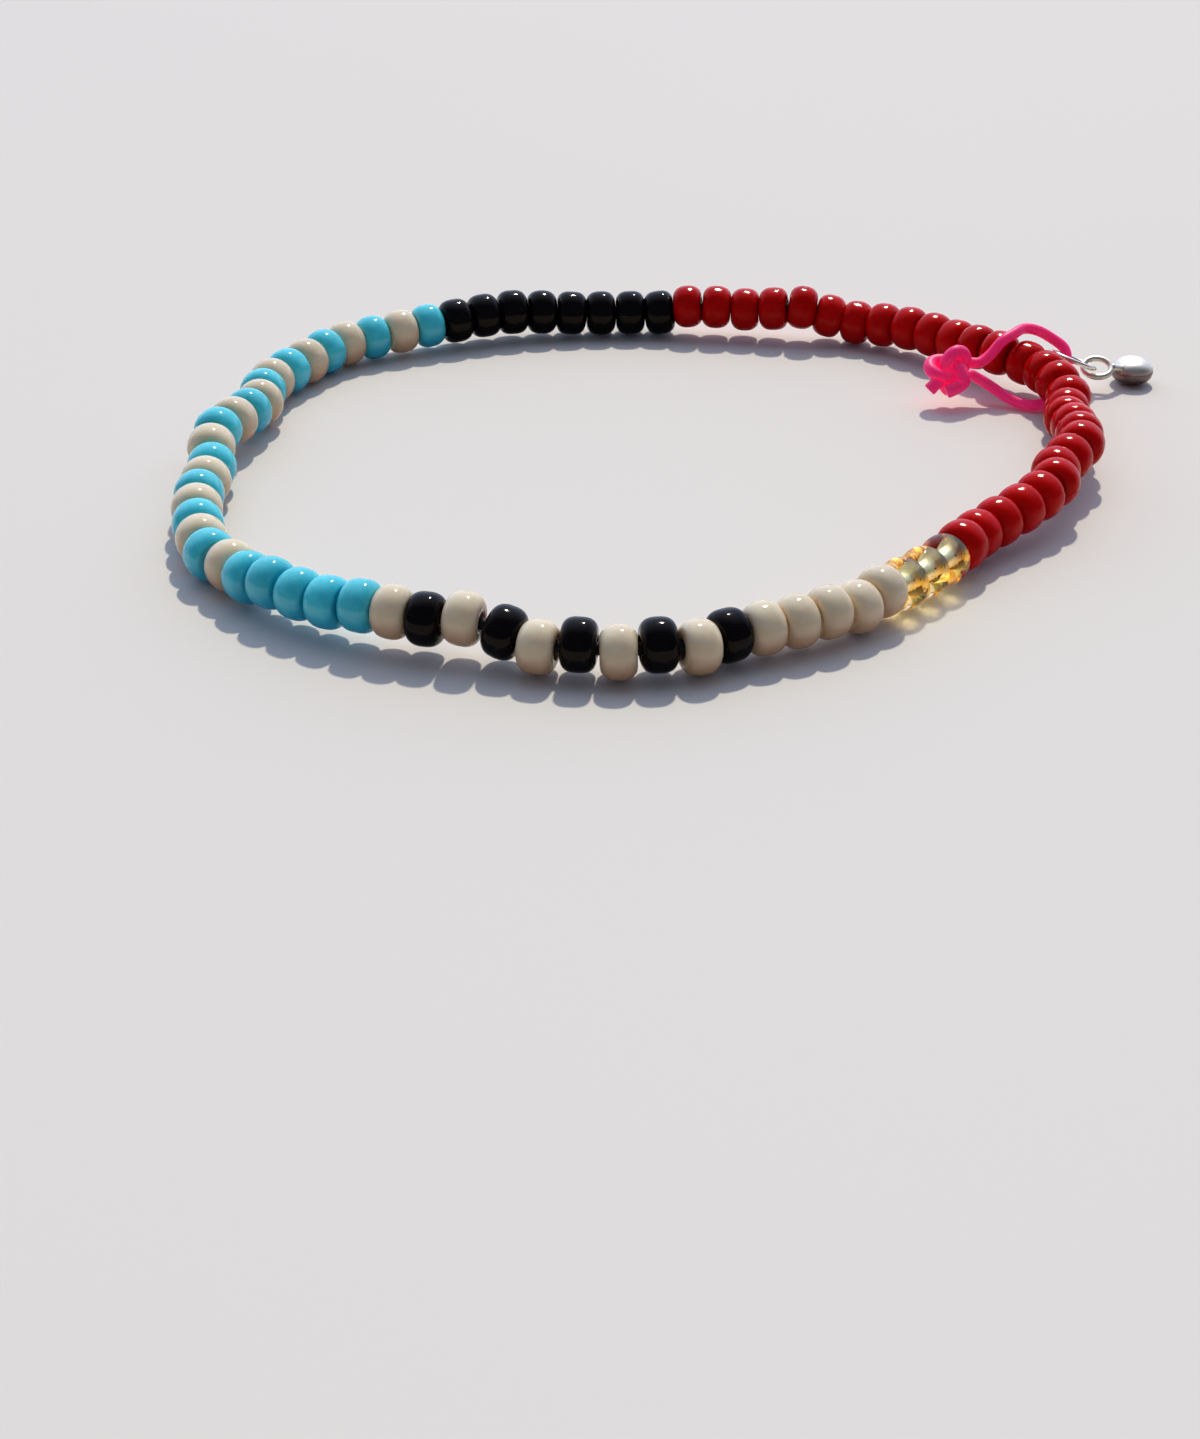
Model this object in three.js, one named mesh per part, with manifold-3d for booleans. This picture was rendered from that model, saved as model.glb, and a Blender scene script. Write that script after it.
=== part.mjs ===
// Beaded elastic bracelet, lying on a flat surface: glass seed beads on a closed elastic thread,
// a tied elastic loop round the strand, a jump ring on the loop and a small puffed charm.
// Millimetres, +Z up. The lowest beads stand on z = 0, and the origin is the bottom centre of the
// whole object's box.

import * as THREE from "three";
import { mergeVertices } from "three/addons/utils/BufferGeometryUtils.js";
import Module from "manifold-3d";

// ---- Beads: size 8/0 glass seed beads ----
const BEAD_RADIUS = 1.55;
const BEAD_FACE_RADIUS = 1.05; // flat ring round the hole
const BEAD_SHOULDER = 0.5; // length over which the bead rounds down to that ring
const BEAD_SIDES = 8;
const HOLE_RADIUS = 0.6;
const CONTACT_DEPTH = 0.05; // how far a bead's face runs into its neighbour, which joins a run
const RUN_CLEARANCE = 0.12; // how far a run's end face stays short of halfway to the next run
const BORE_RUN_OUT = 1; // how far the drill goes past the middle of a run's end beads, in beads

// ---- Thread: round black elastic, the whole way round ----
const THREAD_RADIUS = 0.34;
const THREAD_KNOT_RADIUS = 0.46; // small knot inside a bead's hole, where the two ends meet
const THREAD_SIDES = 6;
const POINTS_PER_BEAD = 2;

// ---- Runs of beads, counter-clockwise seen from above, from the front left ----
// name: the node; beads: how many; pitch: from one bead's middle to the next; bare: the length of
// thread that shows after the run; colour: the run's colour, or its two colours mixed.
const RUNS = [
  { name: "blue_beads", beads: 5, pitch: 2.15, bare: 0, colour: 0x2a9fc0 },
  { name: "cream_black_beads_left", beads: 5, pitch: 2.12, bare: 0.3, colour: 0xb5a68e },
  { name: "cream_black_beads_middle", beads: 3, pitch: 2.12, bare: 0.3, colour: 0xb5a68e },
  { name: "cream_black_beads_right", beads: 2, pitch: 2.12, bare: 0, colour: 0xb5a68e },
  { name: "cream_beads", beads: 5, pitch: 2.1, bare: 0, colour: 0xe6d9bf },
  { name: "amber_beads", beads: 3, pitch: 2.1, bare: 0, colour: 0xe0a21c },
  { name: "red_beads_side", beads: 17, pitch: 2.13, bare: 0, colour: 0xa8101a },
  { name: "red_beads_back", beads: 13, pitch: 2.23, bare: 0, colour: 0xa8101a },
  { name: "black_beads", beads: 8, pitch: 2.29, bare: 0, colour: 0x101216 },
  { name: "blue_cream_beads_back", beads: 11, pitch: 2.24, bare: 0, colour: 0x7fb9bf },
  { name: "blue_cream_beads_side", beads: 11, pitch: 2.24, bare: 0, colour: 0x7fb9bf },
];

// ---- The line that the string lies along: x, y and how far the beads ride above the surface ----
const ROUTE = [
  { x: -24.3, y: -18.5, rise: 0.2 },
  { x: -20.4, y: -21.8, rise: 0.6 },
  { x: -16.2, y: -23.9, rise: 0.7 },
  { x: -10.3, y: -25.5, rise: 0.7 },
  { x: -7.9, y: -26.4, rise: 0.3 },
  { x: -5.6, y: -27.2, rise: 0.2 },
  { x: -2.2, y: -27.3, rise: 0.1 },
  { x: 1.2, y: -27.1, rise: 0 },
  { x: 3.8, y: -25.8, rise: 0 },
  { x: 7.6, y: -24.3, rise: 0.3 },
  { x: 10.8, y: -22.6, rise: 0.3 },
  { x: 14.6, y: -18.9, rise: 0 },
  { x: 17.8, y: -15.4, rise: 0.2 },
  { x: 19.7, y: -12.7, rise: 0.2 },
  { x: 22.6, y: -10.1, rise: 0.6 },
  { x: 25.3, y: -7.0, rise: 1.0 },
  { x: 25.8, y: -4.7, rise: 0.9 },
  { x: 27.9, y: -1.6, rise: 1.2 },
  { x: 28.4, y: 2.6, rise: 0.8 },
  { x: 28.4, y: 6.0, rise: 0.3 },
  { x: 29.2, y: 7.6, rise: 0.3 },
  { x: 28.8, y: 11.0, rise: 0.75 },
  { x: 27.6, y: 14.2, rise: 0.7 },
  { x: 25.7, y: 15.6, rise: 1.1 },
  { x: 23.2, y: 19.0, rise: 0.7 },
  { x: 19.6, y: 22.8, rise: 0.5 },
  { x: 15.0, y: 25.3, rise: 0.2 },
  { x: 12.6, y: 25.4, rise: 1.1 },
  { x: 8.3, y: 26.2, rise: 0.7 },
  { x: 3.6, y: 26.7, rise: 0.8 },
  { x: 0.2, y: 27.0, rise: 0.1 },
  { x: -5.8, y: 26.7, rise: 0.3 },
  { x: -10.4, y: 26.0, rise: 0.6 },
  { x: -14.4, y: 24.4, rise: 0.5 },
  { x: -18.8, y: 22.3, rise: 0.3 },
  { x: -22.5, y: 20.2, rise: 0.1 },
  { x: -24.9, y: 16.6, rise: 0 },
  { x: -27.1, y: 11.8, rise: 0.2 },
  { x: -27.1, y: 8.1, rise: 0.3 },
  { x: -28.2, y: 4.0, rise: 0.7 },
  { x: -29.1, y: 0.9, rise: 0.8 },
  { x: -28.7, y: -2.8, rise: 0.1 },
  { x: -28.7, y: -8.3, rise: 0.2 },
  { x: -26.8, y: -15.4, rise: 0.1 },
  { x: -25.2, y: -17.2, rise: 0.2 },
];
const FIRST_BEAD_AT = 0.8; // distance along the route to the middle of the first blue bead
const ROUTE_SAMPLES = 3000;

// ---- Tied loop: pink elastic from the knot over the strand, through the ring and back below ----
const TIE_RADIUS = 0.38;
const TIE_SIDES = 8;
const TIE_STEPS = 36;
const TIE_ROUTE = [
  { x: 21.4, y: 12.7, z: 2.8 },
  { x: 22.6, y: 13.7, z: 2.8 },
  { x: 23.6, y: 13.5, z: 2.7 },
  { x: 24.5, y: 13.8, z: 3.2 },
  { x: 25.3, y: 14.1, z: 4.1 },
  { x: 26.3, y: 14.9, z: 4.4 },
  { x: 27.1, y: 15.6, z: 4.5 },
  { x: 28.1, y: 15.8, z: 4.3 },
  { x: 29.3, y: 15.8, z: 3.5 },
  { x: 30.3, y: 15.2, z: 2.8 },
  { x: 30.7, y: 14.6, z: 2.3 },
  { x: 30.7, y: 13.9, z: 1.6 },
  { x: 30.5, y: 13.3, z: 1.0 },
  { x: 29.9, y: 12.6, z: 0.5 },
  { x: 29.1, y: 12.1, z: 0.39 },
  { x: 28.3, y: 11.5, z: 0.39 },
  { x: 27.4, y: 11.1, z: 0.39 },
  { x: 26.4, y: 11.4, z: 0.5 },
  { x: 25.5, y: 11.9, z: 0.8 },
  { x: 24.6, y: 12.3, z: 1.3 },
  { x: 23.6, y: 12.4, z: 1.9 },
  { x: 22.6, y: 12.2, z: 2.4 },
  { x: 21.4, y: 12.1, z: 2.7 },
];
// The knot: its crossed turns and its two cut ends, as rounded lumps.
const KNOT_LUMPS = [
  { x: 21.5, y: 12.4, z: 2.8, radius: 0.95 },
  { x: 20.9, y: 13.2, z: 3.1, radius: 0.75 },
  { x: 22.1, y: 13.4, z: 3.2, radius: 0.7 },
  { x: 20.5, y: 11.9, z: 2.6, radius: 0.75 },
  { x: 19.9, y: 12.4, z: 2.5, radius: 0.6 },
  { x: 21.1, y: 11.4, z: 1.9, radius: 0.65 },
];
const LUMP_SIDES = 8;
const LUMP_BANDS = 5;

// ---- Jump ring: round silver wire, upright, turned away from the front ----
const RING_RADIUS = 1.7; // to the middle of the wire
const RING_WIRE_RADIUS = 0.22;
const RING_SIDES = 6;
const RING_STEPS = 20;
const RING_CENTRE = { x: 30.98, y: 15.35, z: 2.25 };
const RING_TURN = 40; // degrees about the vertical
const RING_LEAN = 20; // degrees backwards

// ---- Charm: puffed oval body with a cast eye ----
const CHARM_CENTRE = { x: 35.6, y: 16.9, z: 0.95 };
const CHARM_HALF_SIZE = { x: 1.5, y: 1.5, z: 0.95 };
const CHARM_SIDES = 14;
const CHARM_BANDS = 8;
const EYE_CENTRE = { x: 32.5, y: 15.95, z: 1.4 };
const EYE_RADIUS = 0.85; // to the middle of the eye's wire
const EYE_STRETCH = 1.2; // the eye is longer towards the body
const EYE_WIRE_RADIUS = 0.25;
const NECK_RADIUS = 0.4;
const NECK_OVERLAP = 0.5; // how far the neck runs into the body

const SILVER = 0xd9d9dc;
const PINK = 0xe8376f;
const BLACK = 0x101216;

const wasm = await Module();
wasm.setup();

// A closed three.js geometry as a solid that can be joined and cut.
function solidOf(geometry) {
  const bare = geometry.clone();
  bare.deleteAttribute("normal");
  bare.deleteAttribute("uv");
  const merged = mergeVertices(bare, 1e-4);
  const mesh = new wasm.Mesh({
    numProp: 3,
    vertProperties: merged.attributes.position.array,
    triVerts: new Uint32Array(merged.index.array),
  });
  return new wasm.Manifold(mesh);
}

// A solid back as a geometry for a mesh.
function geometryOf(solid) {
  const mesh = solid.getMesh();
  const geometry = new THREE.BufferGeometry();
  geometry.setAttribute("position", new THREE.BufferAttribute(mesh.vertProperties, 3));
  geometry.setIndex(new THREE.BufferAttribute(mesh.triVerts, 1));
  geometry.computeVertexNormals();
  return geometry;
}

function joined(geometries) {
  return geometries.map(solidOf).reduce((whole, piece) => whole.add(piece));
}

function vector(row) {
  return new THREE.Vector3(row.x, row.y, row.z);
}

// A regular polygon as the section of a round bar.
function roundSection(radius, sides) {
  const corners = [];
  for (let i = 0; i < sides; i++) {
    const angle = (2 * Math.PI * i) / sides;
    corners.push(new THREE.Vector2(radius * Math.cos(angle), radius * Math.sin(angle)));
  }
  return new THREE.Shape(corners);
}

// A round bar with closed ends along a curve.
function bar(curve, radius, sides, steps) {
  return new THREE.ExtrudeGeometry(roundSection(radius, sides), {
    steps,
    extrudePath: curve,
    bevelEnabled: false,
  });
}

// The line through the middle of the beads, as a closed curve.
function stringLine() {
  const points = ROUTE.map((row) => new THREE.Vector3(row.x, row.y, BEAD_RADIUS + row.rise));
  const curve = new THREE.CatmullRomCurve3(points, true, "centripetal");
  curve.arcLengthDivisions = ROUTE_SAMPLES;
  return curve;
}

// Every bead's middle: the pitches are shared out along the whole length of the string.
function beadMiddles(line) {
  const places = [];
  let reached = 0;
  let before = 0;
  for (const run of RUNS) {
    for (let number = 0; number < run.beads; number++) {
      reached += places.length ? (before + run.pitch) / 2 : 0;
      places.push(reached);
      before = run.pitch;
    }
    reached += run.bare;
  }
  const total = reached + (before + RUNS[0].pitch) / 2;
  const start = FIRST_BEAD_AT / line.getLength();
  return places.map((place) => line.getPointAt((place / total + start) % 1));
}

// One bead with its axis along Y: a barrel that rounds down to a flat ring at each end. back and
// front are the distances from its middle to its two faces.
function beadGeometry(back, front) {
  const profile = [
    new THREE.Vector2(0, -back),
    new THREE.Vector2(BEAD_FACE_RADIUS, -back),
    new THREE.Vector2(BEAD_RADIUS, BEAD_SHOULDER - back),
    new THREE.Vector2(BEAD_RADIUS, front - BEAD_SHOULDER),
    new THREE.Vector2(BEAD_FACE_RADIUS, front),
    new THREE.Vector2(0, front),
  ];
  return new THREE.LatheGeometry(profile, BEAD_SIDES);
}

// A bead at its place, its axis from its neighbour before to its neighbour after, a corner down.
function placedBead(middles, index, geometry) {
  const count = middles.length;
  const before = middles[(index + count - 1) % count];
  const after = middles[(index + 1) % count];
  const axis = after.clone().sub(before).normalize();
  const side = axis.clone().cross(new THREE.Vector3(0, 0, 1)).normalize();
  const up = side.clone().cross(axis);
  const place = new THREE.Matrix4().makeBasis(side, axis, up).setPosition(middles[index]);
  return geometry.applyMatrix4(place);
}

// The stretch of thread from one bead's middle to another's, as an open curve.
function threadStretch(thread, count, first, last) {
  const steps = Math.round((last - first) * POINTS_PER_BEAD);
  const points = [];
  for (let i = 0; i <= steps; i++) {
    const place = first + ((last - first) * i) / steps;
    points.push(thread.getPoint((place / count + 1) % 1));
  }
  return new THREE.CatmullRomCurve3(points, false, "centripetal");
}

// A run of beads: each bead's faces run a little into its neighbours', and one bore goes through
// them all. The two end faces stay clear of the next runs.
function beadRun(middles, thread, first, run) {
  const last = first + run.beads - 1;
  const inner = run.pitch / 2 + CONTACT_DEPTH;
  const outer = run.pitch / 2 - RUN_CLEARANCE;
  const beads = [];
  for (let index = first; index <= last; index++) {
    const bead = beadGeometry(index === first ? outer : inner, index === last ? outer : inner);
    beads.push(placedBead(middles, index, bead));
  }
  const drill = threadStretch(thread, middles.length, first - BORE_RUN_OUT, last + BORE_RUN_OUT);
  const bore = bar(drill, HOLE_RADIUS, THREAD_SIDES, last - first + 2 * BORE_RUN_OUT);
  return geometryOf(joined(beads).subtract(solidOf(bore)));
}

// The whole elastic: once round, its two ends meeting in a small knot.
function elasticThread(thread, count) {
  const almostRound = 0.02;
  const round = threadStretch(thread, count, 0, count - almostRound);
  const knot = new THREE.SphereGeometry(THREAD_KNOT_RADIUS, LUMP_SIDES, LUMP_BANDS);
  knot.translate(...thread.getPoint(0).toArray());
  const string = bar(round, THREAD_RADIUS, THREAD_SIDES, count);
  return geometryOf(joined([string, knot]));
}

function lump(row) {
  return new THREE.SphereGeometry(row.radius, LUMP_SIDES, LUMP_BANDS).translate(row.x, row.y, row.z);
}

function tieLoop() {
  const curve = new THREE.CatmullRomCurve3(TIE_ROUTE.map(vector), false, "centripetal");
  const loop = bar(curve, TIE_RADIUS, TIE_SIDES, TIE_STEPS);
  return geometryOf(joined([loop, ...KNOT_LUMPS.map(lump)]));
}

function jumpRing() {
  const ring = new THREE.TorusGeometry(RING_RADIUS, RING_WIRE_RADIUS, RING_SIDES, RING_STEPS);
  ring.rotateX(THREE.MathUtils.degToRad(90 - RING_LEAN));
  ring.rotateZ(THREE.MathUtils.degToRad(RING_TURN));
  return ring.translate(RING_CENTRE.x, RING_CENTRE.y, RING_CENTRE.z);
}

function charm() {
  const body = new THREE.SphereGeometry(1, CHARM_SIDES, CHARM_BANDS);
  body.rotateX(Math.PI / 2);
  body.scale(CHARM_HALF_SIZE.x, CHARM_HALF_SIZE.y, CHARM_HALF_SIZE.z);
  body.translate(CHARM_CENTRE.x, CHARM_CENTRE.y, CHARM_CENTRE.z);
  const eye = new THREE.TorusGeometry(EYE_RADIUS, EYE_WIRE_RADIUS, RING_SIDES, RING_STEPS);
  eye.scale(EYE_STRETCH, 1, 1);
  eye.translate(EYE_CENTRE.x, EYE_CENTRE.y, EYE_CENTRE.z);
  const towards = vector(CHARM_CENTRE).sub(vector(EYE_CENTRE)).normalize();
  const from = vector(EYE_CENTRE).addScaledVector(towards, EYE_RADIUS * EYE_STRETCH);
  const reach = CHARM_HALF_SIZE.x - NECK_OVERLAP;
  const to = vector(CHARM_CENTRE).addScaledVector(towards, -reach);
  const neck = bar(new THREE.LineCurve3(from, to), NECK_RADIUS, RING_SIDES, 1);
  return geometryOf(joined([body, eye, neck]));
}

function piece(name, geometry, colour, roughness, metalness) {
  const material = new THREE.MeshStandardMaterial({ color: colour, roughness, metalness });
  const mesh = new THREE.Mesh(geometry, material);
  mesh.name = name;
  return mesh;
}

const middles = beadMiddles(stringLine());
const thread = new THREE.CatmullRomCurve3(middles, true, "centripetal");

const bracelet = new THREE.Group();
let firstBead = 0;
for (const run of RUNS) {
  bracelet.add(piece(run.name, beadRun(middles, thread, firstBead, run), run.colour, 0.12, 0));
  firstBead += run.beads;
}
bracelet.add(piece("elastic_thread", elasticThread(thread, middles.length), BLACK, 0.7, 0));
bracelet.add(piece("tie_loop", tieLoop(), PINK, 0.5, 0));
bracelet.add(piece("jump_ring", jumpRing(), SILVER, 0.25, 1));
bracelet.add(piece("charm", charm(), SILVER, 0.3, 1));

// The origin goes to the bottom centre of the whole object's box.
const box = new THREE.Box3().setFromObject(bracelet, true);
const middle = box.getCenter(new THREE.Vector3());
bracelet.position.set(-middle.x, -middle.y, -box.min.z);

const group = new THREE.Group();
group.add(bracelet);

export default group;
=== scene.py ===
"""Looks of the beaded bracelet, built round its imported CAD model.

Every length in the tables is in millimetres and becomes metres where the mesh is made. The string's
route repeats the CAD part's. The beads' pitches differ from it by up to 0.02 mm, and the tied loop, the
ring and the charm are moved from their places there by up to about 1 mm.
"""

import math

import bpy
from mathutils import Matrix, Vector


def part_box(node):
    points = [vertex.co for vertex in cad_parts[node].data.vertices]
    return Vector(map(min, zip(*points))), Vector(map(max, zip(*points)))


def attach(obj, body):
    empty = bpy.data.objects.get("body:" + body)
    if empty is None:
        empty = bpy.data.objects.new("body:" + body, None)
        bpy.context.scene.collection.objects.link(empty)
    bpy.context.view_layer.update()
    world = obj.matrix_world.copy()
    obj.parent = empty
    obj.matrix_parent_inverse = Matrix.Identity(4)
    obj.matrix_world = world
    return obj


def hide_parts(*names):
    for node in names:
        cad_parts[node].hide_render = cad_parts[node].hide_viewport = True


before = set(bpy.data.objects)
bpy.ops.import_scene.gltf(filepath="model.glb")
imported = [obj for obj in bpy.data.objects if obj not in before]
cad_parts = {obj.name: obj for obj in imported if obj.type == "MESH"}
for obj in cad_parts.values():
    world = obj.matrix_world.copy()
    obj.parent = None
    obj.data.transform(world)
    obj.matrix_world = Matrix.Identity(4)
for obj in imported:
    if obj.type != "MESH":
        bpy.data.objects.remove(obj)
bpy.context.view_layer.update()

MM = 0.001
ROOT = "root"

# ---- Beads -------------------------------------------------------------------------------------
BEAD_RADIUS = 1.55
VISUAL_RADIUS = 1.57
FULLEST = 1.03  # how far a bead that is out of round reaches at most, as a share of its radius
LINING_DEPTH = 0.012  # how far the lining sits in the glass, so that no air shows between them
LINING_THICKNESS = 0.04  # of its part in the hole
LINING_INSET = 0.05  # how far the lining ends inside the hole
BEAD_GAP = 0.045  # air between two neighbours' faces
HOLE_RADIUS = 0.55
FACE_RADIUS = 0.82  # the end face's own radius, where the rounded side begins
# From 2, round as a barrel, to 4, square as a tube, for each glass.
SQUARENESS = {
    "blue": (2.3, 2.9),
    "cream": (2.15, 2.6),
    "black": (2.6, 3.2),
    "red": (2.3, 2.8),
    "amber": (2.1, 2.25),
}
TILT = 1.5  # degrees that a bead leans off the string's line at most
# How far beads differ from each other: in length, in width as a share, and in form as shares of the radius.
SHORTER_AT_MOST = 0.05
CREAM_LONGER_BY = 0.04
WIDTHS = (0.988, 1.008)
OVAL_AT_MOST = 0.006
LOBES_AT_MOST = 0.003
TAPER_AT_MOST = 0.02
SEED = 20113
LIP = 0.13  # rounding of the hole's edge
BEAD_SIDES = 60
SIDE_STEPS = 32
LIP_STEPS = 3

THREAD_RADIUS = 0.36
THREAD_SIDES = 14
THREAD_STEPS_PER_BEAD = 6

# node: the CAD node that the beads stand for; beads: how many; pitch: from one bead's middle to the
# next; bare: thread that shows after the run; size: how large the beads are beside the others;
# glass: the glasses in turn, from the run's first bead.
RUNS = [
    {"node": "blue_beads", "beads": 5, "pitch": 2.15, "bare": 0, "size": 1, "glass": ["blue"]},
    {
        "node": "cream_black_beads_left",
        "beads": 5,
        "pitch": 2.12,
        "bare": 0.15,
        "size": 1,
        "glass": ["cream", "black"],
    },
    {
        "node": "cream_black_beads_middle",
        "beads": 3,
        "pitch": 2.12,
        "bare": 0.3,
        "size": 1,
        "glass": ["black", "cream"],
    },
    {
        "node": "cream_black_beads_right",
        "beads": 2,
        "pitch": 2.12,
        "bare": 0,
        "size": 1,
        "glass": ["cream", "black"],
    },
    {"node": "cream_beads", "beads": 5, "pitch": 2.1, "bare": 0, "size": 1, "glass": ["cream"]},
    {"node": "amber_beads", "beads": 3, "pitch": 2.1, "bare": 0, "size": 1, "glass": ["amber"]},
    {"node": "red_beads_side", "beads": 17, "pitch": 2.115, "bare": 0, "size": 1, "glass": ["red"]},
    {"node": "red_beads_back", "beads": 13, "pitch": 2.23, "bare": 0, "size": 1.03, "glass": ["red"]},
    {"node": "black_beads", "beads": 8, "pitch": 2.31, "bare": 0, "size": 1.05, "glass": ["black"]},
    {
        "node": "blue_cream_beads_back",
        "beads": 11,
        "pitch": 2.25,
        "bare": 0,
        "size": 1.03,
        "glass": ["blue", "cream"],
    },
    {
        "node": "blue_cream_beads_side",
        "beads": 11,
        "pitch": 2.25,
        "bare": 0,
        "size": 1.02,
        "glass": ["cream", "blue"],
    },
]

# The line that the string lies along: x, y and how far the beads ride above the surface. Most of these
# points are the rounded result of a least-squares fit to the beads' places in the photograph, made by a
# scratch program. The others were changed or added one by one.
ROUTE = [
    (-24.3, -18.5, 0.2),
    (-20.4, -21.8, 0.6),
    (-16.2, -23.9, 0.7),
    (-10.3, -25.5, 0.7),
    (-7.9, -26.4, 0.3),
    (-5.6, -27.2, 0.2),
    (-2.2, -27.3, 0.1),
    (1.2, -27.1, 0),
    (3.8, -25.8, 0),
    (7.6, -24.3, 0.3),
    (10.8, -22.6, 0.3),
    (14.6, -18.9, 0),
    (17.8, -15.4, 0.2),
    (19.7, -12.7, 0.2),
    (22.6, -10.1, 0.6),
    (25.3, -7.0, 1.0),
    (25.8, -4.7, 0.9),
    (27.9, -1.6, 1.2),
    (28.4, 2.6, 0.8),
    (28.4, 6.0, 0.3),
    (29.2, 7.6, 0.3),
    (28.8, 11.0, 0.75),
    (27.6, 14.2, 0.7),
    (25.7, 15.6, 1.1),
    (23.2, 19.0, 0.7),
    (19.6, 22.8, 0.5),
    (15.0, 25.3, 0.2),
    (12.6, 25.4, 1.1),
    (8.3, 26.2, 0.7),
    (3.6, 26.7, 0.8),
    (0.2, 27.0, 0.1),
    (-5.8, 26.7, 0.3),
    (-10.4, 26.0, 0.6),
    (-14.4, 24.4, 0.5),
    (-18.8, 22.3, 0.3),
    (-22.5, 20.2, 0.1),
    (-24.9, 16.6, 0),
    (-27.1, 11.8, 0.2),
    (-27.1, 8.1, 0.3),
    (-28.2, 4.0, 0.7),
    (-29.1, 0.9, 0.8),
    (-28.7, -2.8, 0.1),
    (-28.7, -8.3, 0.2),
    (-26.8, -15.4, 0.1),
    (-25.2, -17.2, 0.2),
]
FIRST_BEAD_AT = 0.62
# How far single beads sit off the line, as (right, back, up), by their number from the first. They were
# chosen one by one from measured differences between the render and the photograph.
LOOSE_BEADS = {
    1: (-0.05, 0, 0.05),
    2: (-0.05, 0, 0.22),
    4: (0, 0, -0.05),
    5: (0, 0, 0.15),
    6: (-0.15, 0, 0.1),
    7: (-0.3, 0, -0.12),
    8: (-0.2, 0, 0.2),
    9: (0.1, 0, 0),
    10: (0.05, -0.25, -0.2),
    11: (0.1, 0, 0.17),
    12: (0.17, -0.35, -0.12),
    13: (0.25, 0, 0.28),
    14: (0.15, -0.2, 0),
    15: (0, 0, 0.15),
    16: (0.05, 0, 0.05),
    17: (0.05, 0, -0.08),
    19: (0.05, 0, -0.2),
    20: (0, 0, 0.2),
    24: (0, 0, 0.1),
}
ROUTE_SAMPLES = 3000

# ---- Tied loop of pink elastic -------------------------------------------------------------------
TIE_RADIUS = 0.385
TIE_SIDES = 18
TIE_STEPS = 9
# From the knot's upper side over the string, through the ring, and back below it.
TIE_ROUTE = [
    (22.6, 13.7, 2.8),
    (23.6, 13.5, 2.7),
    (24.5, 13.8, 3.2),
    (25.3, 14.1, 4.1),
    (26.3, 14.9, 4.4),
    (27.1, 15.6, 4.5),
    (28.1, 15.8, 4.3),
    (29.2, 15.9, 3.7),
    (30.1, 15.5, 3.1),
    (30.3, 14.9, 2.4),
    (30.25, 14.1, 1.6),
    (30.15, 13.3, 1.0),
    (29.9, 12.6, 0.5),
    (29.1, 12.1, 0.45),
    (28.3, 11.5, 0.45),
    (27.4, 11.1, 0.45),
    (26.4, 11.4, 0.5),
    (25.5, 11.9, 0.8),
    (24.6, 12.3, 1.3),
    (23.6, 12.4, 1.9),
    (22.7, 12.1, 2.3),
]
KNOT_MIDDLE = (21.5, 12.5, 2.55)
KNOT_SPREAD = 0.49
KNOT_DEPTH = 0.5
KNOT_TURN = -40  # degrees
KNOT_OPENING = 0.29
KNOT_POINTS = 24
KNOT_SWELLING = 1.22  # the strand is slack and thicker inside the knot
# The two ends, as (right, up, towards the front) from the knot's middle.
CORE_END = [(-1.55, -1.5, 0.3), (-1.15, -1.1, 0.4), (-0.5, -0.4, 0.2), (0.2, 0.3, -0.3), (0.9, 0.75, -0.7)]
WOUND_END = [(0.15, -1.45, 0.5), (-0.35, -1.65, 0.45)]

# ---- Ring and charm ----------------------------------------------------------------------------
RING_RADIUS = 1.7
RING_WIRE = 0.17
RING_MIDDLE = (30.86, 15.53, 2.18)
# Two directions in the ring's plane, square to each other.
RING_AXES = ((0.928, -0.164, -0.335), (0.082, 0.966, -0.245))
RING_CUT = 0.05  # width of the cut
RING_CUT_AT = 2.4  # radians round from the ring's own x
RING_STEPS = 96
RING_SIDES = 20
CHARM_MIDDLE = (35.55, 16.6, 0.95)
CHARM_RADIUS = 1.5
CHARM_HALF_HEIGHT = 0.95
CHARM_FULLNESS = 2.3
CHARM_SEAM = 0.03
CHARM_SEAM_HEIGHT = 0.07
CHARM_STEPS = 72
CHARM_SIDES = 72
EYE_MIDDLE = (32.62, 15.22, 1.68)
EYE_RADIUS = 0.85
EYE_STRETCH = 1.2
EYE_WIRE = 0.22
EYE_LEAN = 30  # degrees that the eye's back is higher than level
NECK_RADIUS = (0.3, 0.42)  # at the eye and in the body
NECK_STEPS = 12
NECK_SIDES = 24

# ---- Floor, camera and light, with places from the middle of the string -------------------------
FLOOR_REACH = 3.0  # metres
CAMERA_PLACE = (-3.432, -126.894, 55.895)
CAMERA_PITCH = 30.54  # degrees below level
CAMERA_SENSOR = 36.0
CAMERA_LENS = 62.01
SUN_DIRECTION = (0.102, 0.639, 0.762)
SUN_STRENGTH = 2.2
SUN_ANGLE = 2.5  # degrees across
SUN_COLOUR = (1.0, 0.945, 0.8)
GLINT_STRENGTH = 8  # a wider sun, which only the gloss of the red beads sees
GLINT_ANGLE = 14
WINDOW_COLOUR = (0.81, 0.96, 1.36)  # soft light from behind the bracelet, low in the sky
ROOM_COLOUR = (0.1, 0.115, 0.16)
WINDOW_TILT = 0.35  # how much a direction's height counts beside how far back it points
WINDOW_EDGE = (0.05, 0.85)  # where on that sum the window starts and where it is full


class Dice:
    """Park and Miller's generator, so that every run gives the same beads."""

    def __init__(self, seed):
        self.state = seed

    def roll(self, low, high):
        self.state = self.state * 16807 % 2147483647
        return low + (high - low) * self.state / 2147483647


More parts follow.
